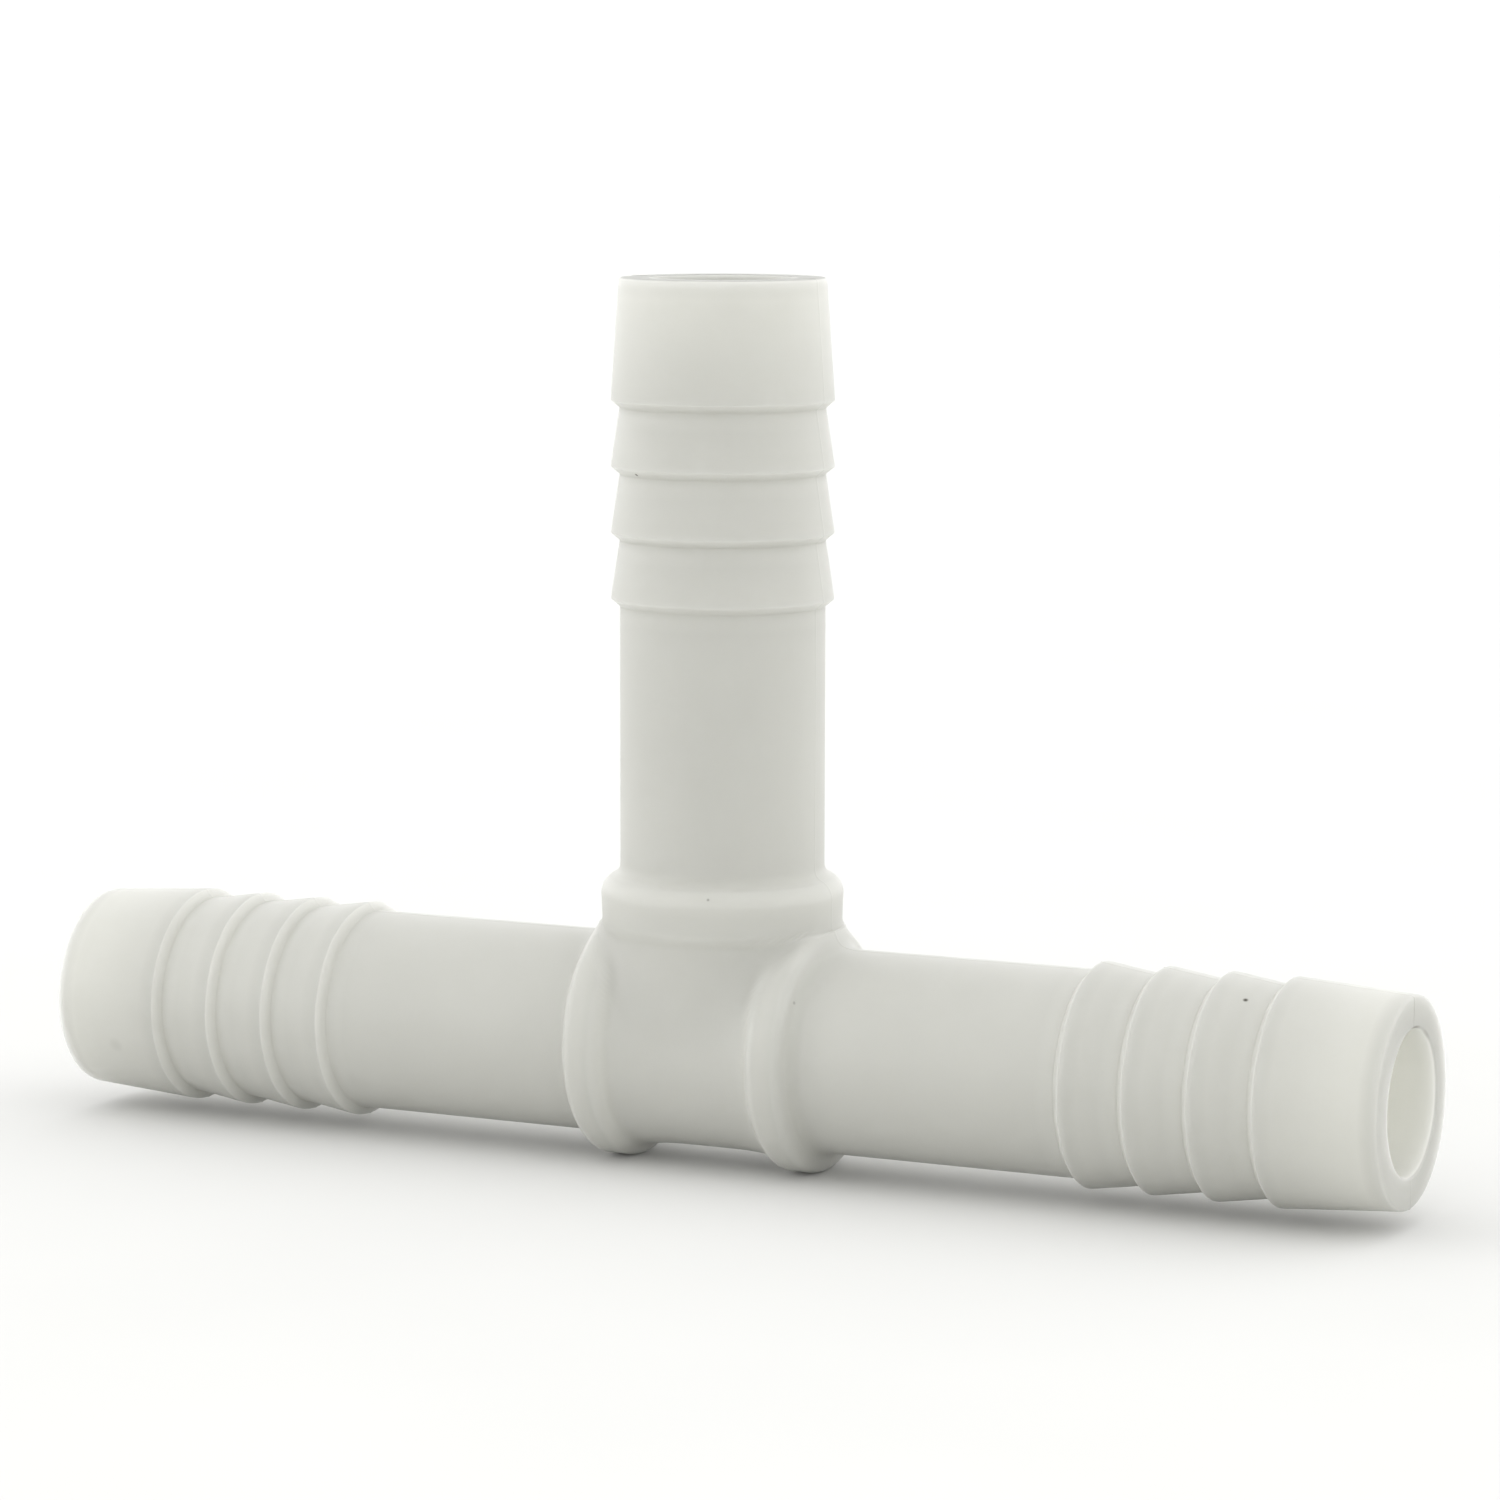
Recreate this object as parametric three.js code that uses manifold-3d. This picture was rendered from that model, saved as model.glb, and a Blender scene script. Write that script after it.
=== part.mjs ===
// Equal barbed tee for half-inch irrigation hose, in millimetres.
//
// The fitting is one injection moulding of natural polyamide. It is divided here, across its own
// axes, into the parts that a person would name: the hub, a stop collar and a plain shank on each
// of the three spigots, and four barb rings on each spigot. Neighbours meet face to face in one
// shared plane, as the material does.
//
// Frame: the run lies along X, the branch points up along +Z, and the origin is where their axes
// cross, in the middle of the hub.

import * as THREE from "three";
import { mergeVertices } from "three/addons/utils/BufferGeometryUtils.js";
import Module from "manifold-3d";

// ---- Driving dimensions ----

const SHANK_RADIUS = 6.35; // half of the 12.7 mm bore of half-inch hose
const CREST_RADIUS = 6.9;
const TIP_RADIUS = 6.38;
const RUN_BORE_RADIUS = 4.4;
const BRANCH_BORE_RADIUS = 4.3; // its core pin butts on the slightly larger pin of the run
const HUB_RADIUS = 6.65;
const NECK_RADIUS = 6.6; // the upright stub between the hub and the branch's collar

const RUN_REACH = 45.15; // from the origin to the end face of each run spigot
const BRANCH_REACH = 47.5;

const BARBS = 4;
const LEAD_IN_LENGTH = 7.5; // end face to the crest of the first barb
const BARB_PITCH = 4.08;
const BARB_BACK = 0.46; // crest to the foot of the steep back
const TIP_CHAMFER = 0.2;
const MOUTH_CHAMFER = 0.25;

const RUN_STOP = { inner: 5.1, outer: 7.5, radius: 7.65 };
const BRANCH_STOP = { inner: 7.45, outer: 10.3, radius: 7.5 };
const EDGE_ROUND_ALONG = 0.5; // the collars' outer edges are rounded to an ellipse
const EDGE_ROUND_ACROSS = 0.8;

const SEGMENTS = 36; // facets round every axis, a multiple of four so that the extremes are true
const ARC_STEPS = 3;

const NYLON = { color: 0xd8d7d1, roughness: 0.42, metalness: 0 };

// ---- Solids of revolution and booleans ----

const wasm = await Module();
wasm.setup();

// The three spigots. Each turn takes the lathe's own axis, +Y, to the spigot's axis.
const RUN = { reach: RUN_REACH, bore: RUN_BORE_RADIUS, stop: RUN_STOP };
const SPIGOTS = {
  run_left: { ...RUN, turn: (geometry) => geometry.rotateZ(Math.PI / 2) },
  run_right: { ...RUN, turn: (geometry) => geometry.rotateZ(-Math.PI / 2) },
  branch: {
    reach: BRANCH_REACH,
    bore: BRANCH_BORE_RADIUS,
    stop: BRANCH_STOP,
    turn: (geometry) => geometry.rotateX(Math.PI / 2),
  },
};

// A closed outline of [radius, distance along the axis] points, turned about its axis.
function revolve(outline) {
  const points = outline.map(([radius, along]) => new THREE.Vector2(radius, along));
  points.push(points[0].clone());
  return new THREE.LatheGeometry(points, SEGMENTS);
}

// A tube's outline: the bore wall from far to near, then the outer points from near to far.
function tubeOutline(bore, near, far, outerPoints) {
  return [[bore, far], [bore, near], ...outerPoints];
}

function solidOf(geometry) {
  const bare = geometry.clone();
  bare.deleteAttribute("normal");
  bare.deleteAttribute("uv");
  const merged = mergeVertices(bare, 1e-4);
  return new wasm.Manifold(
    new wasm.Mesh({
      numProp: 3,
      vertProperties: merged.attributes.position.array,
      triVerts: new Uint32Array(merged.index.array),
    }),
  );
}

function geometryOf(solid) {
  const mesh = solid.getMesh();
  const geometry = new THREE.BufferGeometry();
  geometry.setAttribute("position", new THREE.BufferAttribute(mesh.vertProperties, 3));
  geometry.setIndex(new THREE.BufferAttribute(mesh.triVerts, 1));
  geometry.computeVertexNormals();
  return geometry;
}

// A block given by its lowest and highest corners.
function block(low, high) {
  const size = high.map((value, i) => value - low[i]);
  const geometry = new THREE.BoxGeometry(...size);
  geometry.translate(...low.map((value, i) => value + size[i] / 2));
  return solidOf(geometry);
}

// A solid rod on a spigot's axis.
function rod(spigot, radius, near, far) {
  return solidOf(spigot.turn(revolve([[0, near], [radius, near], [radius, far], [0, far]])));
}

// ---- Spigot sections ----

// Where barb number i has its crest, its foot and its start, measured from the origin.
function barbStations(reach, i) {
  const crest = reach - LEAD_IN_LENGTH - i * BARB_PITCH;
  const foot = crest - BARB_BACK;
  const start = i === 0 ? reach : foot + BARB_PITCH;
  return { crest, foot, start };
}

function barbOutline({ reach, bore }, i) {
  const { crest, foot, start } = barbStations(reach, i);
  const outer = [[SHANK_RADIUS, foot], [CREST_RADIUS, crest]];
  if (i > 0) return tubeOutline(bore, foot, start, [...outer, [SHANK_RADIUS, start]]);
  outer.push([TIP_RADIUS, start - TIP_CHAMFER], [TIP_RADIUS - TIP_CHAMFER, start]);
  outer.push([bore + MOUTH_CHAMFER, start], [bore, start - MOUTH_CHAMFER]);
  return [[bore, foot], ...outer];
}

function shankOutline({ reach, bore, stop }) {
  const { foot } = barbStations(reach, BARBS - 1);
  return tubeOutline(bore, stop.outer, foot, [[SHANK_RADIUS, stop.outer], [SHANK_RADIUS, foot]]);
}

// The collar's rim: its two outer edges as quarter ellipses.
function stopRim(stop) {
  const edge = (along, from, to) =>
    new THREE.EllipseCurve(
      stop.radius - EDGE_ROUND_ACROSS,
      along,
      EDGE_ROUND_ACROSS,
      EDGE_ROUND_ALONG,
      from,
      to,
    ).getPoints(ARC_STEPS);
  return [
    ...edge(stop.inner + EDGE_ROUND_ALONG, -Math.PI / 2, 0),
    ...edge(stop.outer - EDGE_ROUND_ALONG, 0, Math.PI / 2),
  ].map((point) => [point.x, point.y]);
}

function stopOutline({ bore, stop }) {
  return tubeOutline(bore, stop.inner, stop.outer, stopRim(stop));
}

// ---- The hub and the run's stop collars ----

// The neck under the branch's collar is wider than the hub is long, so each of these three
// sections holds its own slice of the neck, and both bores run through them.
function middleSections() {
  const { run_left, run_right, branch } = SPIGOTS;
  const { inner, outer, radius } = RUN_STOP;
  const margin = radius + 1;
  const neck = rod(branch, NECK_RADIUS, 0, margin);
  const runBore = rod(run_right, run_right.bore, -margin, margin);
  const branchBore = rod(branch, branch.bore, 0, margin);

  const collar = (spigot) =>
    solidOf(spigot.turn(revolve([[0, inner], ...stopRim(RUN_STOP), [0, outer]])));
  const section = (core, low, high) =>
    core
      .add(neck.intersect(block([low, -margin, -margin], [high, margin, margin])))
      .intersect(block([-margin, -margin, -margin], [margin, margin, BRANCH_STOP.inner]))
      .subtract(runBore)
      .subtract(branchBore);

  return {
    hub_body: section(rod(run_right, HUB_RADIUS, -inner, inner), -inner, inner),
    run_left_stop_collar: section(collar(run_left), -outer, -inner),
    run_right_stop_collar: section(collar(run_right), inner, outer),
  };
}

// ---- The fitting ----

const tee = new THREE.Group();
tee.name = "barbed_tee";

function addSection(name, geometry) {
  const mesh = new THREE.Mesh(geometry, new THREE.MeshStandardMaterial(NYLON));
  mesh.name = name;
  tee.add(mesh);
}

for (const [name, solid] of Object.entries(middleSections())) addSection(name, geometryOf(solid));

addSection("branch_stop_collar", SPIGOTS.branch.turn(revolve(stopOutline(SPIGOTS.branch))));

for (const [side, spigot] of Object.entries(SPIGOTS)) {
  addSection(`${side}_shank`, spigot.turn(revolve(shankOutline(spigot))));
  for (let i = 0; i < BARBS; i++) {
    addSection(`${side}_barb_${i + 1}`, spigot.turn(revolve(barbOutline(spigot, i))));
  }
}

export default tee;
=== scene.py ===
"""Looks of a barbed tee connector: one moulding of natural polyamide on a pale studio floor.

Lengths in this file are millimetres until they reach a mesh, a node or the camera, which are in
metres. The run lies along X, the branch points up along +Z, and the origin is where their axes
cross. The run's left arm is the mirror image of its right arm.
"""

import math
from dataclasses import dataclass

import bmesh
import bpy
import numpy as np
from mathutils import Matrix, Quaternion, Vector


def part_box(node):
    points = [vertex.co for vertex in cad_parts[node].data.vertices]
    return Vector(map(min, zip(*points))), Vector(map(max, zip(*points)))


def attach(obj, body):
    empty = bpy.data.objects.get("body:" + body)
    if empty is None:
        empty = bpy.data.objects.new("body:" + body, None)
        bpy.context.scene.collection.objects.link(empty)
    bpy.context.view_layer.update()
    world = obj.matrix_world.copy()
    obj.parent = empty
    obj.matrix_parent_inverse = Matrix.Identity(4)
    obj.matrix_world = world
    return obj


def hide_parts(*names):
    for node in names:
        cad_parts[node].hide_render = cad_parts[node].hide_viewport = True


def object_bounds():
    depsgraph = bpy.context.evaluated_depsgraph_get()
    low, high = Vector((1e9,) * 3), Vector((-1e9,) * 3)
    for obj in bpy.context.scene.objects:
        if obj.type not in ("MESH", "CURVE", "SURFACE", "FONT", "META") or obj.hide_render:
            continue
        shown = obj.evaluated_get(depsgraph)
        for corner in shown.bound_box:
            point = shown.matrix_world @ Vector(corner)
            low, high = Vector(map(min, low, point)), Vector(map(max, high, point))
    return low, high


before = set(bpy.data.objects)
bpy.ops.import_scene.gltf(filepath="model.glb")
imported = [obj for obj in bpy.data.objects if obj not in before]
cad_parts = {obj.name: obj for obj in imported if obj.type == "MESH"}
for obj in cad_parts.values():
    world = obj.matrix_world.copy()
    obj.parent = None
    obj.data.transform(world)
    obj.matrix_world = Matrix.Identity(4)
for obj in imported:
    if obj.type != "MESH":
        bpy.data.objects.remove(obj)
cad_low, cad_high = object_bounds()
MM = 0.001
TINY = 1e-9  # keeps a division by a length from being a division by nothing


# ---- Sizes taken from the frame ----


def reach(node, axis, side):
    """How far a node's box reaches along an axis, in millimetres. side is 0 for low, 1 for high."""
    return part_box(node)[side][axis] / MM


RUN_REACH = reach("run_right_barb_1", 0, 1)
BRANCH_REACH = reach("branch_barb_1", 2, 1)
SHANK_RADIUS = reach("branch_shank", 1, 1)
CREST_RADIUS = reach("branch_barb_2", 1, 1)
HUB_RADIUS = reach("hub_body", 1, 1)
RUN_STOP_INNER = reach("run_right_stop_collar", 0, 0)
RUN_STOP_OUTER = reach("run_right_stop_collar", 0, 1)
RUN_STOP_RADIUS = reach("run_right_stop_collar", 1, 1)
BRANCH_STOP_INNER = reach("branch_stop_collar", 2, 0)
BRANCH_STOP_OUTER = reach("branch_stop_collar", 2, 1)
BRANCH_STOP_RADIUS = reach("branch_stop_collar", 1, 1)
BARB_PITCH = reach("branch_barb_1", 2, 0) - reach("branch_barb_2", 2, 0)
LEAD_IN_FOOT = BRANCH_REACH - reach("branch_barb_1", 2, 0)

# ---- Sizes that only the fine surface has ----

BARBS = 4
BARB_BACK = 0.46  # along the axis, from a crest to the foot of its steep back
TIP_RADIUS = 6.38
NECK_RADIUS = 6.6
RUN_BORE_RADIUS = 4.2  # at the hub; the core pins taper, so the bores widen towards their mouths
BRANCH_BORE_RADIUS = 4.25
CORE_DRAFT = math.radians(0.25)

CREST_ROUND = 0.1
ROOT_ROUND = 0.15
TIP_ROUND = 0.2
MOUTH_ROUND = 0.2
RUN_STOP_EDGE_ROUND = 0.62
BRANCH_STOP_TOP_ROUND = 0.75
BRANCH_STOP_FOOT_ROUND = 0.3
BRANCH_STOP_PEAK = BRANCH_STOP_OUTER + 0.42  # where the sloping top would meet the shank
BRANCH_STOP_RIM = BRANCH_STOP_RADIUS + 0.08  # at the top; the rim narrows towards the hub
BRANCH_STOP_SLOPE = math.radians(24)
BRANCH_STOP_TAPER = math.radians(3)
SHANK_STOP_FILLET = 0.9  # between a run collar and the shank outside it
HUB_STOP_FILLET = 0.6  # and between a collar and the hub or neck inside it
BRANCH_STOP_FILLET = 0.5
STOPS_FILLET = 0.9  # between the branch's collar and the run's
STOPS_APART = 3.0  # how far from the middle the branch's collar stands clear of the run's
LEAST_STOPS_FILLET = 0.15  # the share of their fillet that is left in the middle
NECK_FILLET = 2.5
BORE_EDGE_ROUND = 0.2
HUB_FLARE = 0.35  # the hub widens by this towards the run's collars
NECK_FLARE = 0.55  # and the neck by this towards the branch's

PARTING_HEIGHT = 0.03  # the mould's two halves meet in the plane y = 0
PARTING_WIDTH = 0.07
FLASH_EDGE = 0.06  # over which the flash at a mouth fades out

# ---- How finely the surface is divided ----

RIDGE_POINTS = (0, 0.5, 1, 1.6, 2.4, 3.6)  # across one side of the parting line, in its widths
QUARTER_POINTS = 27  # evenly over the rest of a quarter turn
ARC_STEPS = 4
SPIGOT_STEP = 1.2  # the longest step along a spigot's section
BORE_STEP = 1.6  # and along its bore
OUTER_FAN_RINGS = 103
BORE_FAN_RINGS = 23
OUTER_SEARCH = (5.2, 12.5)  # how near and how far along a ray the skin can be
BORE_SEARCH = (2.0, 9.0)
WALK_STEPS = 160
HALVINGS = 24
FAN_EASE = 1.4  # a power over 1, so that a fan's rays turn slowly at first
MERGE_WITHIN = 0.002
ON_SURFACE = 0.02  # closer than this to a plane or a wall counts as on it

# ---- Tone of the plastic with light and shade painted in, as a share of the way from its greyer to its milkier colour ----

PLAIN_TONE = 0.5
RELIEF_REACH = 0.8  # how wide the surroundings of a point are, when edges are told from roots
ROOT_PAINTED_LIGHT = 0.8  # painted light in roots: how much lighter a root is painted, for each millimetre it lies back
HUB_FACING_PAINTED_LIGHT = 0.12  # painted light: how much lighter whatever faces the hub is painted
LIP_PAINTED_SHADE = 0.22  # painted shade: the rims of the tips are painted greyer, over a narrow band
LIP_WIDTH = 0.8
BORE_PAINTED_LIGHT_DEPTH = 4.5  # over which the painted light of a mouth turns into the painted light of its bore
TIP_PAINTED_LIGHT = 0.13  # painted light: how much lighter a tip is painted
TIP_PAINTED_LIGHT_LENGTH = 5.0  # over which the painted light grows towards a tip
FLOW_TONE = 0.05
FLOW_SIZE = 7.14  # of the clouds that the flowing plastic leaves
GRAIN_SIZE = 0.2  # of the mould's satin finish, coarser than the real one so that it shows
GRAIN_DEPTH = 0.02

FLASH_TONE = 0.55  # the mean of the broken flash round a mouth
FLASH_BREAKS = 11  # in a full turn
FLASH_TURN = 0.6  # radians by which the first break is turned
HAIRLINE_TONE = 0.4

SPECKS = (  # burnt grains in the plastic: centre, radius and darkness
    ((35.75, -2.94, 5.87), 0.2, 1.0),
    ((-2.96, -5.87, 35.65), 0.16, 1.0),
    ((2.44, -6.93, 10.02), 0.12, 0.5),
    ((7.6, -5.56, 3.86), 0.14, 0.35),
    ((-40.87, -6.11, -2.7), 0.6, 0.1),
)
SPECK_CORE = 0.3  # the share of a speck's radius that is fully dark


@dataclass(frozen=True)
class Spigot:
    """Where a spigot lies, and the light and shade painted on its edges, end face, mouth and bore."""

    axis: int
    reach: float
    fan_end: float  # where its rings are plain circles again
    bore: float
    edge_painted_shade: float  # painted shade on edges: how much greyer an edge is painted, for each millimetre it stands out
    # painted shade on the end face: how much greyer it is painted
    face_painted_shade: float
    # painted light in the mouth and in the bore; below 0, as on the branch, it is painted shade
    mouth_painted_light: float
    bore_painted_light: float


RUN = Spigot(0, RUN_REACH, 9.4, RUN_BORE_RADIUS, 0.8, -0.06, 0.2, 0.75)
BRANCH = Spigot(2, BRANCH_REACH, 12.0, BRANCH_BORE_RADIUS, 0.2, -0.45, -0.35, -0.35)


# ---- The middle of the fitting as distances ----


def radial(points, axis):
    """Distance of each point from the X axis (0) or the Z axis (2)."""
    others = [i for i in range(3) if i != axis]
    return np.hypot(points[..., others[0]], points[..., others[1]])


def rounded_disc(points, axis, inner, outer, radius, edge):
    """Signed distance to a disc on an axis: the distance to a smaller disc, less the edge's radius."""
    along = np.abs(points[..., axis] - (inner + outer) / 2) - ((outer - inner) / 2 - edge)
    across = radial(points, axis) - (radius - edge)
    outside = np.hypot(np.maximum(along, 0), np.maximum(across, 0))
    return outside + np.minimum(np.maximum(along, across), 0) - edge


def blend(a, b, width):
    """Smooth union: the smaller of two distances, less a quarter of the width where they are equal."""
    width = np.maximum(width, TINY)
    share = np.clip(0.5 + 0.5 * (b - a) / width, 0, 1)
    return b + (a - b) * share - width * share * (1 - share)


def rounded_corner(a, b, radius):
    """The part inside both distances, with the corner where they meet turned by a circle's arc."""
    outside = np.hypot(np.maximum(a + radius, 0), np.maximum(b + radius, 0))
    return outside + np.minimum(np.maximum(a, b), -radius)


def branch_stop(points):
    """Distance to the branch's collar: a rim that narrows downwards, under a top that slopes outwards."""
    across, z = radial(points, 2), points[..., 2]
    rim = across - BRANCH_STOP_RIM + math.tan(BRANCH_STOP_TAPER) * (BRANCH_STOP_OUTER - z)
    sine, cosine = math.sin(BRANCH_STOP_SLOPE), math.cos(BRANCH_STOP_SLOPE)
    top = (z - BRANCH_STOP_PEAK) * cosine + (across - SHANK_RADIUS) * sine
    above = rounded_corner(rim, top, BRANCH_STOP_TOP_ROUND)
    return rounded_corner(above, BRANCH_STOP_INNER - z, BRANCH_STOP_FOOT_ROUND)


def outer_distance(points):
    """Distance to the outside of the hub, its neck, the three collars and the roots of the shanks.

    The hub is a cylinder that widens with the fourth power of the distance from its middle, and
    the neck one that widens with the square. Their fillet grows with the angle at which they
    cross, so that it dies away at the front and back, where the two run into each other smoothly.
    """
    x, y, z = points[..., 0], points[..., 1], points[..., 2]
    run_radial, branch_radial = radial(points, 0), radial(points, 2)
    middle_of_run_stop = (RUN_STOP_INNER + RUN_STOP_OUTER) / 2
    middle_of_branch_stop = (BRANCH_STOP_INNER + BRANCH_STOP_OUTER) / 2
    hub_radius = HUB_RADIUS + HUB_FLARE * np.minimum(np.abs(x) / RUN_STOP_INNER, 1) ** 4
    bar = run_radial - np.where(np.abs(x) < middle_of_run_stop, hub_radius, SHANK_RADIUS)
    neck_radius = NECK_RADIUS + NECK_FLARE * np.clip(z / BRANCH_STOP_INNER, 0, 1) ** 2
    neck = branch_radial - np.where(z < middle_of_branch_stop, neck_radius, SHANK_RADIUS)
    below = np.hypot(np.maximum(neck, 0), np.minimum(z, 0))
    neck = np.where(z < 0, below, neck)
    facing_alike = y**2 / np.maximum(run_radial * branch_radial, TINY)
    body = blend(bar, neck, NECK_FILLET * (1 - facing_alike**4))
    mirrored = np.stack([np.abs(x), y, z], axis=-1)
    run_stops = rounded_disc(
        mirrored, 0, RUN_STOP_INNER, RUN_STOP_OUTER, RUN_STOP_RADIUS, RUN_STOP_EDGE_ROUND
    )
    apart = np.clip(np.abs(y) / STOPS_APART, LEAST_STOPS_FILLET, 1)
    stops = blend(run_stops, branch_stop(points), STOPS_FILLET * apart)
    beside = np.where(np.abs(x) < middle_of_run_stop, HUB_STOP_FILLET, SHANK_STOP_FILLET)
    return blend(body, stops, np.where(z > BRANCH_STOP_INNER, BRANCH_STOP_FILLET, beside))


def bore_radius(bore, along):
    """A tapered core pin: its radius at the hub, plus the tangent of its draft times the distance."""
    return bore + math.tan(CORE_DRAFT) * np.abs(along)


def bore_distance(points):
    """Distance to the wall of the crossing bores, positive in the plastic."""
    x, z = points[..., 0], points[..., 2]
    run = radial(points, 0) - bore_radius(RUN_BORE_RADIUS, x)
    branch = radial(points, 2) - bore_radius(BRANCH_BORE_RADIUS, z)
    branch = np.where(z < 0, np.hypot(np.maximum(branch, 0), np.minimum(z, 0)), branch)
    return blend(run, branch, BORE_EDGE_ROUND)


# ---- The moulding's skin ----


def ring_angles():
    """Angles round a spigot, close together on each side of the parting plane and even elsewhere.

    The angle starts at the back, +Y. Each half turn is symmetrical about its middle, which lies on
    the parting plane.
    """
    close = PARTING_WIDTH / SHANK_RADIUS * np.array(RIDGE_POINTS)
    even = np.linspace(close[-1], math.pi / 2, QUARTER_POINTS)
    quarter = np.concatenate([close[:-1], even])
    half = math.pi / 2 + np.concatenate([-quarter[::-1], quarter[1:]])
    return np.concatenate([half[:-1], half[:-1] + math.pi])


ANGLES = ring_angles()
RING = len(ANGLES)


def parting_ridge(y):
    """Height of the witness line over the skin: a bell curve of the distance from the parting plane."""
    return PARTING_HEIGHT * np.exp(-((y / PARTING_WIDTH) ** 2))


def first_crossing(distance, origins, directions, nearest, farthest):
    """Where each ray leaves the inside: a coarse walk finds the step, and halving it finds the wall."""
    steps = np.linspace(nearest, farthest, WALK_STEPS)
    walked = origins[..., None, :] + directions[..., None, :] * steps[:, None]
    outside = distance(walked) > 0
    index = np.maximum(outside.argmax(axis=-1), 1)
    low, high = steps[index - 1], steps[index]
    for _ in range(HALVINGS):
        middle = (low + high) / 2
        beyond = distance(origins + directions * middle[..., None]) > 0
        low = np.where(beyond, low, middle)
        high = np.where(beyond, middle, high)
    return (low + high) / 2


def fan(spigot, shares, distance, search):
    """Rays from a spigot's axis, as (origins, directions, lengths) of shape rings by ring points.

    At share 0 the rays leave the origin and lie in the seams: the two planes x = z and x = -z
    where the branch meets the run, and the plane x = 0 below them where the run's halves meet.
    At share 1 they stand square on the axis at the fan's end. In between they turn slowly at
    first and then faster, so that no two of them cross before they reach the skin.
    """
    sine, cosine, nothing = np.sin(ANGLES), np.cos(ANGLES), np.zeros(RING)
    slope = math.sqrt(0.5)
    if spigot.axis == 0:
        upper = np.maximum(sine, 0) * slope
        seam = np.stack([upper, cosine, np.where(sine > 0, upper, sine)], axis=-1)
        square = np.stack([nothing, cosine, sine], axis=-1)
    else:
        seam = np.stack([sine * slope, cosine, np.abs(sine) * slope], axis=-1)
        square = np.stack([sine, cosine, nothing], axis=-1)
    shares = shares[:, None, None]
    turned = shares**FAN_EASE
    directions = seam * (1 - turned) + square * turned
    directions /= np.linalg.norm(directions, axis=-1, keepdims=True)
    origins = np.zeros_like(directions)
    origins[..., spigot.axis] = spigot.fan_end * shares[..., 0]
    lengths = first_crossing(distance, origins, directions, *search)
    return origins, directions, lengths


def arc_corner(before, corner, after, radius):
    """A circle's arc that touches both sides of a corner, as points from one side to the other."""
    before, corner, after = (np.array(p, float) for p in (before, corner, after))
    into = (before - corner) / np.linalg.norm(before - corner)
    out = (after - corner) / np.linalg.norm(after - corner)
    half = math.acos(float(np.clip(into @ out, -1, 1))) / 2
    centre = corner + (into + out) / np.linalg.norm(into + out) * radius / math.sin(half)
    start = corner + into * radius / math.tan(half) - centre
    stop = corner + out * radius / math.tan(half) - centre
    turn = math.atan2(start[0] * stop[1] - start[1] * stop[0], start @ stop)
    angles = np.linspace(0, turn, ARC_STEPS + 1)
    cosine, sine = np.cos(angles), np.sin(angles)
    along = cosine * start[0] - sine * start[1]
    across = sine * start[0] + cosine * start[1]
    return centre + np.stack([along, across], axis=-1)


def divided(start, end, longest):
    """A straight line's points from start to end, in equal steps shorter than the longest."""
    return np.linspace(start, end, 2 + int(np.linalg.norm(end - start) / longest))


def spigot_corners(spigot):
    """Corners of a spigot's section as (along, radius, rounding), from the fan out and back in."""
    corners = [(spigot.fan_end, SHANK_RADIUS, 0)]
    for i in reversed(range(BARBS)):
        foot = spigot.reach - LEAD_IN_FOOT - i * BARB_PITCH
        corners.append((foot, SHANK_RADIUS, ROOT_ROUND))
        corners.append((foot + BARB_BACK, CREST_RADIUS, CREST_ROUND))
    mouth = float(bore_radius(spigot.bore, spigot.reach))
    corners.append((spigot.reach, TIP_RADIUS, TIP_ROUND))
    corners.append((spigot.reach, mouth + MOUTH_ROUND + FLASH_EDGE, 0))
    corners.append((spigot.reach, mouth, MOUTH_ROUND))
    corners.append((spigot.reach - MOUTH_ROUND - FLASH_EDGE, mouth, 0))
    corners.append((spigot.fan_end, float(bore_radius(spigot.bore, spigot.fan_end)), 0))
    return corners


def spigot_profile(spigot):
    """The spigot's section as points, with its corners rounded and its long straights divided.

    Returns the points and the outward normal at each, which stands square on the line from the
    point before it to the point after it.
    """
    corners = spigot_corners(spigot)
    points = [np.array([corners[0][:2]])]
    for before, corner, after in zip(corners, corners[1:], corners[2:]):
        arc = np.array([corner[:2]])
        if corner[2]:
            arc = arc_corner(before[:2], corner[:2], after[:2], corner[2])
        straight = divided(points[-1][-1], arc[0], SPIGOT_STEP)
        points += [straight[1:-1], arc]
    points.append(divided(points[-1][-1], np.array(corners[-1][:2]), BORE_STEP)[1:])
    points = np.concatenate(points)
    along = np.gradient(points, axis=0)
    normals = np.stack([-along[:, 1], along[:, 0]], axis=-1)
    return points, normals / np.linalg.norm(normals, axis=-1, keepdims=True)


def spigot_rings(spigot):
    """The spigot's section turned about its axis, raised by the ridge outside the bore."""
    points, normals = spigot_profile(spigot)
    sine, cosine = np.sin(ANGLES), np.cos(ANGLES)
    outside = points[:, 1:] > (TIP_RADIUS + spigot.bore) / 2
    lift = np.where(outside, parting_ridge(points[:, 1:] * cosine), 0)
    along = points[:, :1] + normals[:, :1] * lift
    across = points[:, 1:] + normals[:, 1:] * lift
    if spigot.axis == 0:
        return np.stack([along, across * cosine, across * sine], axis=-1)
    return np.stack([across * sine, across * cosine, along], axis=-1)


def arm(spigot):
    """One third of the skin as rings: the outer fan, the spigot and its mouth, and the bore's fan."""
    shares = np.linspace(0, 1, OUTER_FAN_RINGS + 1)[:-1]
    origins, directions, lengths = fan(spigot, shares, outer_distance, OUTER_SEARCH)
    ridge = parting_ridge(directions[..., 1] * lengths)
    outer = origins + directions * (lengths + ridge)[..., None]
    shares = np.linspace(1, 0, BORE_FAN_RINGS + 1)[1:]
    origins, directions, lengths = fan(spigot, shares, bore_distance, BORE_SEARCH)
    inner = origins + directions * lengths[..., None]
    return np.concatenate([outer, spigot_rings(spigot), inner])


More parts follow.
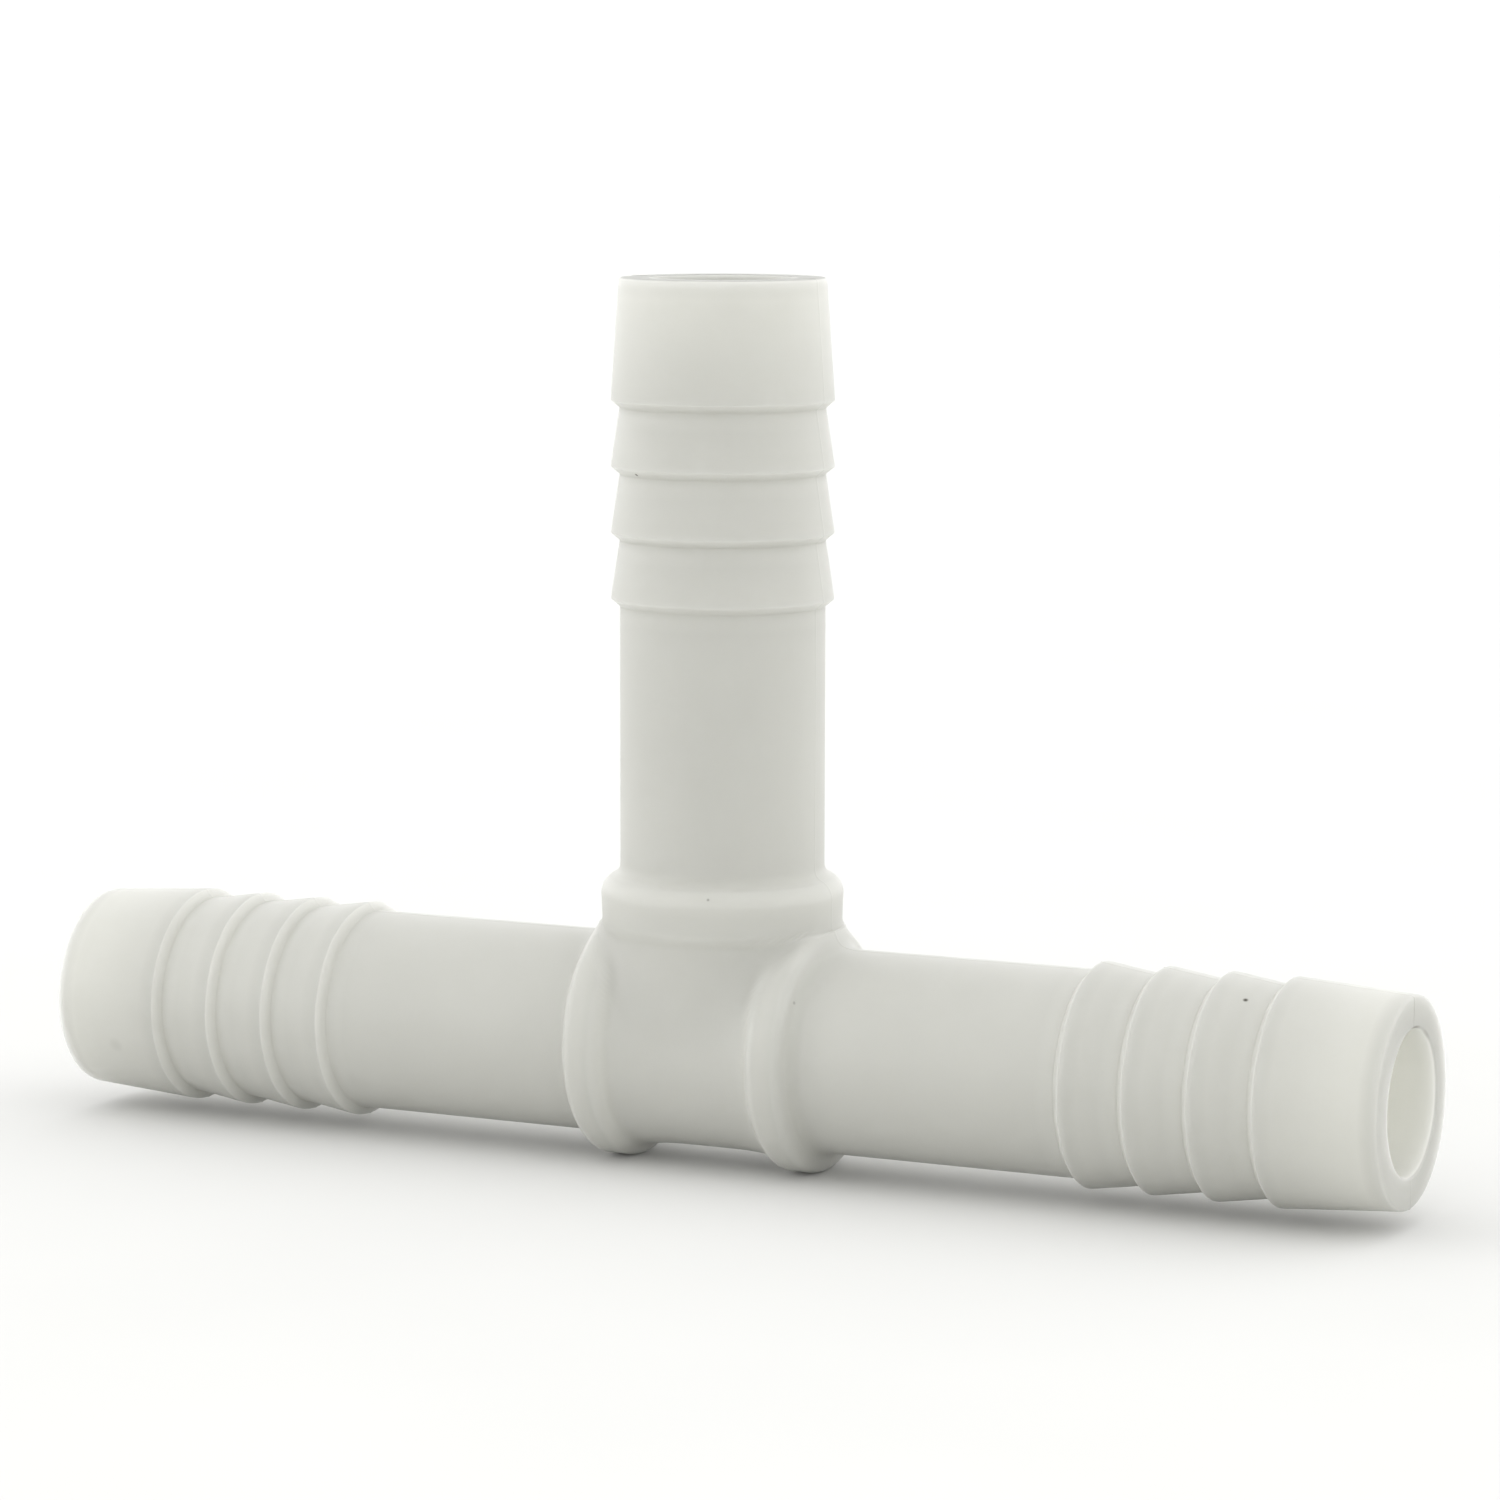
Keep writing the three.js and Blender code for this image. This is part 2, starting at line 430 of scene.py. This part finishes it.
def outward_normals(rings):
    """The skin's normal at each point, from the rings before and after it and its two neighbours.

    They point out of the plastic: at the first rings, that is away from the middle of the fitting.
    """
    along = np.gradient(rings, axis=0)
    around = np.roll(rings, -1, axis=1) - np.roll(rings, 1, axis=1)
    normals = np.cross(along, around)
    normals /= np.maximum(np.linalg.norm(normals, axis=-1, keepdims=True), TINY)
    return normals * np.sign((normals[1] * rings[1]).sum())


def relief(rings, normals):
    """How far each point stands out of its surroundings, in millimetres: crests up, roots down.

    The surroundings are the points at the same place on the other rings, weighted by the length
    each stands for times a bell curve of its distance. The relief is the part of the way from
    their mean to the point that lies along the outward normal. It fades out at both seams, where
    the rings end and the surroundings are not all counted.
    """
    spacing = np.linalg.norm(np.gradient(rings, axis=0), axis=-1)
    apart = np.linalg.norm(rings[:, None] - rings[None], axis=-1)
    weights = np.exp(-((apart / RELIEF_REACH) ** 2)) * spacing
    surroundings = np.einsum("ijc,jcd->icd", weights, rings) / weights.sum(axis=1)[..., None]
    inside_seams = np.ones(rings.shape[:2])
    for seam in (rings[:1], rings[-1:]):
        from_seam = np.linalg.norm(rings - seam, axis=-1) / (2 * RELIEF_REACH)
        inside_seams *= np.clip(from_seam, 0, 1) ** 2
    return ((rings - surroundings) * normals).sum(axis=-1) * inside_seams


def tone_with_painted_light(rings, spigot):
    """The plastic's tone at each point with light and shade painted in: 0 is its greyer colour, 1 its
    milkier.

    Painted shade makes edges greyer than their surroundings, and painted light makes roots, tips
    and whatever faces the hub milkier. Painted shade makes the rims and faces at the ends greyer.
    Painted light makes the run's bore milkier with its depth, up to a tone over 1, and painted
    shade makes the branch's bore greyer.
    """
    normals = outward_normals(rings)
    stands_out = relief(rings, normals)
    along, across = rings[..., spigot.axis], radial(rings, spigot.axis)
    from_end = spigot.reach - along
    # painted light that grows towards the tip
    to_tip = np.clip((LEAD_IN_FOOT - from_end) / TIP_PAINTED_LIGHT_LENGTH, 0, 1)
    # painted light in roots and painted shade on edges, by how far each point lies back or stands out
    painted_relief_shading = np.where(stands_out > 0, spigot.edge_painted_shade, ROOT_PAINTED_LIGHT) * stands_out
    everywhere = PLAIN_TONE + TIP_PAINTED_LIGHT * to_tip - painted_relief_shading
    # painted light on surfaces that face the hub
    facing_hub = np.clip(-normals[..., spigot.axis], 0, 1)
    # painted shade on the rims of the tips
    lip = np.exp(-((from_end / LIP_WIDTH) ** 2))
    # painted shade on the end face
    painted_face_shade = np.where(from_end < ON_SURFACE, spigot.face_painted_shade, 0)
    outside = everywhere + HUB_FACING_PAINTED_LIGHT * facing_hub - LIP_PAINTED_SHADE * lip + painted_face_shade
    # painted light in the run's mouth and bore, painted shade in the branch's
    depth = np.clip(from_end / BORE_PAINTED_LIGHT_DEPTH, 0, 1)
    inside = everywhere + spigot.mouth_painted_light + (spigot.bore_painted_light - spigot.mouth_painted_light) * depth
    mouth = float(bore_radius(spigot.bore, spigot.reach))
    return np.where(across < mouth + ON_SURFACE, inside, outside)


def flash(rings):
    """How dark the run's flash is at each point, from 0 to 1: two lines of thin, stained plastic.

    One is broken and follows the upper quarter of the mouth's edge, strongest at the top: a
    cosine that fades to nothing on both sides, times a level that a faster sine breaks up. The
    other is a hairline along the parting plane over the upper half of the end face.
    """
    y, z, across = rings[..., 1], rings[..., 2], radial(rings, 0)
    from_end = RUN_REACH - rings[..., 0]
    mouth = float(bore_radius(RUN_BORE_RADIUS, RUN_REACH))
    from_top = np.arctan2(y, z)
    across_edge = np.abs(across - mouth - MOUTH_ROUND / 2) < MOUTH_ROUND / 2
    on_edge = across_edge & (from_end < MOUTH_ROUND) & (z > 0)
    breaks = FLASH_TONE + (1 - FLASH_TONE) * np.sin(FLASH_BREAKS * from_top + FLASH_TURN)
    broken = np.clip(np.cos(2 * from_top), 0, 1) * breaks
    on_face = (from_end < ON_SURFACE) & (across > mouth)
    on_hairline = on_face & (z > 0) & (np.abs(y) < PARTING_WIDTH / 2)
    return np.where(on_edge, broken, np.where(on_hairline, HAIRLINE_TONE, 0))


def strip_faces(rings, first):
    """Quads between neighbouring rings, each ring closed on itself, as vertex numbers from first."""
    row = np.arange(rings - 1)[:, None] * RING
    column = np.arange(RING)
    after = (column + 1) % RING
    quads = [row + column, row + after, row + RING + after, row + RING + column]
    return np.stack(quads, axis=-1).reshape(-1, 4) + first


def make_moulding(material):
    """The whole skin: three arms that meet in shared seams, merged into one closed surface."""
    right, branch = arm(RUN), arm(BRANCH)
    left = right * np.array([-1, 1, 1])
    on_run, on_branch = tone_with_painted_light(right, RUN).ravel(), tone_with_painted_light(branch, BRANCH).ravel()
    flash_on_run, no_flash = flash(right).ravel(), np.zeros(on_branch.size)
    attributes = {
        "tone_with_painted_light": np.concatenate([on_run, on_run, on_branch]),
        "flash": np.concatenate([flash_on_run, flash_on_run, no_flash]),
    }
    vertices, faces, count = [], [], 0
    for rings in (right, left, branch):
        faces.append(strip_faces(len(rings), count))
        vertices.append(rings.reshape(-1, 3))
        count += len(vertices[-1])
    mesh = bpy.data.meshes.new("tee_moulding")
    mesh.from_pydata(np.concatenate(vertices) * MM, [], np.concatenate(faces))
    for name, values in attributes.items():
        attribute = mesh.attributes.new(name, "FLOAT", "POINT")
        attribute.data.foreach_set("value", values.astype(np.float32))
    working = bmesh.new()
    working.from_mesh(mesh)
    bmesh.ops.remove_doubles(working, verts=working.verts, dist=MERGE_WITHIN * MM)
    bmesh.ops.recalc_face_normals(working, faces=working.faces)
    working.to_mesh(mesh)
    working.free()
    mesh.shade_smooth()
    mesh.materials.append(material)
    moulding = bpy.data.objects.new("tee_moulding", mesh)
    bpy.context.scene.collection.objects.link(moulding)
    return moulding


# ---- Materials ----

COLOUR_MIX = {"data_type": "RGBA", "clamp_factor": False}  # so a factor may go past 0 and 1
FACTOR, FIRST, SECOND, MIXED = 0, 6, 7, 2  # a colour mix's inputs, and its output


def linear(hex_colour):
    """An sRGB hex colour as linear RGBA."""
    channels = [int(hex_colour[i : i + 2], 16) / 255 for i in (0, 2, 4)]
    return [c / 12.92 if c <= 0.04045 else ((c + 0.055) / 1.055) ** 2.4 for c in channels] + [1.0]


def pattern_scale(size):
    """The scale of a noise whose patches are about as wide as the size, in millimetres."""
    return 1 / (size * MM)


def add_node(tree, kind, settings=None, links=None):
    """Adds a node. settings are its own properties or input values, and links its input sockets."""
    node = tree.nodes.new(kind)
    for name, value in (settings or {}).items():
        if isinstance(name, int) or name in node.inputs:
            node.inputs[name].default_value = value
        else:
            setattr(node, name, value)
    for name, socket in (links or {}).items():
        tree.links.new(socket, node.inputs[name])
    return node


def new_material(name):
    material = bpy.data.materials.new(name)
    material.use_nodes = True
    material.node_tree.nodes.clear()
    return material, material.node_tree


def natural_polyamide():
    """Natural polyamide 66, injection moulded: milky and translucent, with a satin mould finish.

    Its tone carries light and shade painted in after the shape, and drifts a little in clouds.
    The flash and the burnt specks are darker and browner than the rest.
    """
    material, tree = new_material("natural_polyamide_moulded")
    place = add_node(tree, "ShaderNodeTexCoord").outputs["Object"]
    flow = add_node(
        tree,
        "ShaderNodeTexNoise",
        {"Scale": pattern_scale(FLOW_SIZE), "Detail": 3.0},
        {"Vector": place},
    )
    wander = add_node(
        tree,
        "ShaderNodeMapRange",
        {"To Min": -FLOW_TONE, "To Max": FLOW_TONE},
        {"Value": flow.outputs["Fac"]},
    )
    # the plastic's tone with the light and shade painted in on the skin
    shape = add_node(tree, "ShaderNodeAttribute", {"attribute_name": "tone_with_painted_light"})
    level = add_node(
        tree,
        "ShaderNodeMath",
        {"operation": "ADD"},
        {0: shape.outputs["Fac"], 1: wander.outputs["Result"]},
    )
    tone = add_node(
        tree,
        "ShaderNodeMix",
        {**COLOUR_MIX, FIRST: linear("8c8c87"), SECOND: linear("d7d7d1")},
        {FACTOR: level.outputs["Value"]},
    )
    stained = add_node(tree, "ShaderNodeAttribute", {"attribute_name": "flash"})
    tone = add_node(
        tree,
        "ShaderNodeMix",
        {**COLOUR_MIX, SECOND: linear("66635b")},
        {FACTOR: stained.outputs["Fac"], FIRST: tone.outputs[MIXED]},
    )
    for centre, radius, darkness in SPECKS:
        centre, radius = tuple(c * MM for c in centre), radius * MM
        apart = add_node(tree, "ShaderNodeVectorMath", {"operation": "DISTANCE", 1: centre}, {0: place})
        mark = add_node(
            tree,
            "ShaderNodeMapRange",
            {"From Min": radius, "From Max": radius * SPECK_CORE, "To Max": darkness},
            {"Value": apart.outputs["Value"]},
        )
        tone = add_node(
            tree,
            "ShaderNodeMix",
            {**COLOUR_MIX, SECOND: linear("45423a")},
            {FACTOR: mark.outputs["Result"], FIRST: tone.outputs[MIXED]},
        )
    grain = add_node(
        tree,
        "ShaderNodeTexNoise",
        {"Scale": pattern_scale(GRAIN_SIZE), "Detail": 2.0},
        {"Vector": place},
    )
    bump = add_node(
        tree,
        "ShaderNodeBump",
        {"Strength": 0.15, "Distance": GRAIN_DEPTH * MM},
        {"Height": grain.outputs["Fac"]},
    )
    shader = add_node(
        tree,
        "ShaderNodeBsdfPrincipled",
        {
            "Roughness": 0.4,
            "IOR": 1.53,
            "Specular IOR Level": 0.2,
            "Subsurface Weight": 1.0,
            "Subsurface Radius": (1.0, 1.0, 1.0),
            "Subsurface Scale": 4.5 * MM,
        },
        {"Base Color": tone.outputs[MIXED], "Normal": bump.outputs["Normal"]},
    )
    add_node(tree, "ShaderNodeOutputMaterial", links={"Surface": shader.outputs["BSDF"]})
    return material


def sweep_paint():
    """Matt white paint of the studio floor: it gives the eye an even, faintly uneven white."""
    material, tree = new_material("matt_white_sweep")
    place = add_node(tree, "ShaderNodeTexCoord").outputs["Object"]
    roller = add_node(
        tree,
        "ShaderNodeTexNoise",
        {"Scale": pattern_scale(ROLLER_SIZE), "Detail": 2.0},
        {"Vector": place},
    )
    paint = add_node(
        tree,
        "ShaderNodeMix",
        {**COLOUR_MIX, FIRST: linear("d4d4d2"), SECOND: linear("d9d9d7")},
        {FACTOR: roller.outputs["Fac"]},
    )
    shader = add_node(
        tree, "ShaderNodeBsdfPrincipled", {"Roughness": 0.9}, {"Base Color": paint.outputs[MIXED]}
    )
    add_node(tree, "ShaderNodeOutputMaterial", links={"Surface": shader.outputs["BSDF"]})
    return material


# ---- Studio ----

CAMERA_AZIMUTH = math.radians(25.93)
CAMERA_ELEVATION = math.radians(7.378)
CAMERA_ROLL = math.radians(0.093)
CAMERA_DISTANCE = 322.2
CAMERA_LENS = 123.79
SENSOR_WIDTH = 36
CLIP_NEAR, CLIP_FAR = 10, 20000
AIM_RIGHT = 1.70  # the view is centred a little to the right of the hub and above it
AIM_UP = 18.13
FLOOR_RADIUS = 4000
FLOOR_SIDES = 96
ROLLER_SIZE = 33.3  # of the patches that a paint roller leaves
TENT_LOW = 2.85  # the tent's strength at the horizon and below it
TENT_HIGH = 1.66  # and straight overhead
TENT_ENDS = 0.68  # the share of it left towards the camera and straight away from it


def make_camera():
    """A camera that looks along its azimuth and elevation at a point beside and above the hub."""
    a, e = CAMERA_AZIMUTH, CAMERA_ELEVATION
    back = np.array([math.sin(a) * math.cos(e), -math.cos(a) * math.cos(e), math.sin(e)])
    right = np.array([math.cos(a), math.sin(a), 0])
    up = np.cross(back, right)
    place = right * AIM_RIGHT + up * AIM_UP + back * CAMERA_DISTANCE
    data = bpy.data.cameras.new("camera")
    data.lens = CAMERA_LENS
    data.sensor_width = SENSOR_WIDTH
    data.clip_start, data.clip_end = CLIP_NEAR * MM, CLIP_FAR * MM
    camera = bpy.data.objects.new("camera", data)
    camera.location = place * MM
    camera.rotation_mode = "QUATERNION"
    level = Vector(back).to_track_quat("Z", "Y")
    camera.rotation_quaternion = level @ Quaternion((0, 0, 1), CAMERA_ROLL)
    bpy.context.scene.collection.objects.link(camera)
    bpy.context.scene.camera = camera


def make_floor():
    """A flat round floor that just touches the run's collars from below: points evenly on a circle."""
    angles = np.linspace(0, 2 * math.pi, FLOOR_SIDES, endpoint=False)
    rim = np.stack([np.cos(angles), np.sin(angles), np.zeros(FLOOR_SIDES)], axis=-1)
    mesh = bpy.data.meshes.new("studio_floor")
    mesh.from_pydata(rim * FLOOR_RADIUS * MM, [], [list(range(FLOOR_SIDES))])
    mesh.materials.append(sweep_paint())
    floor = bpy.data.objects.new("studio_floor", mesh)
    floor.location.z = cad_low.z
    bpy.context.scene.collection.objects.link(floor)


def make_tent():
    """A white light tent: brightest low down at the sides, and dimmer overhead and at both ends."""
    world = bpy.data.worlds.new("light_tent")
    world.use_nodes = True
    tree = world.node_tree
    tree.nodes.clear()
    direction = add_node(tree, "ShaderNodeTexCoord").outputs["Generated"]
    front = (math.sin(CAMERA_AZIMUTH), -math.cos(CAMERA_AZIMUTH), 0.0)
    towards = add_node(
        tree, "ShaderNodeVectorMath", {"operation": "DOT_PRODUCT", 1: front}, {0: direction}
    )
    squared = add_node(
        tree, "ShaderNodeMath", {"operation": "POWER", 1: 2.0}, {0: towards.outputs["Value"]}
    )
    sides = add_node(
        tree,
        "ShaderNodeMapRange",
        {"To Min": 1.0, "To Max": TENT_ENDS},
        {"Value": squared.outputs["Value"]},
    )
    split = add_node(tree, "ShaderNodeSeparateXYZ", links={"Vector": direction})
    height = add_node(
        tree,
        "ShaderNodeMapRange",
        {"interpolation_type": "SMOOTHSTEP", "To Min": TENT_LOW, "To Max": TENT_HIGH},
        {"Value": split.outputs["Z"]},
    )
    strength = add_node(
        tree,
        "ShaderNodeMath",
        {"operation": "MULTIPLY"},
        {0: sides.outputs["Result"], 1: height.outputs["Result"]},
    )
    sky = add_node(tree, "ShaderNodeBackground", links={"Strength": strength.outputs["Value"]})
    add_node(tree, "ShaderNodeOutputWorld", links={"Surface": sky.outputs["Background"]})
    bpy.context.scene.world = world


def make_studio():
    make_camera()
    make_floor()
    make_tent()
    bpy.context.scene.view_settings.view_transform = "Standard"


moulding = make_moulding(natural_polyamide())
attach(moulding, "root")
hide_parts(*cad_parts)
make_studio()
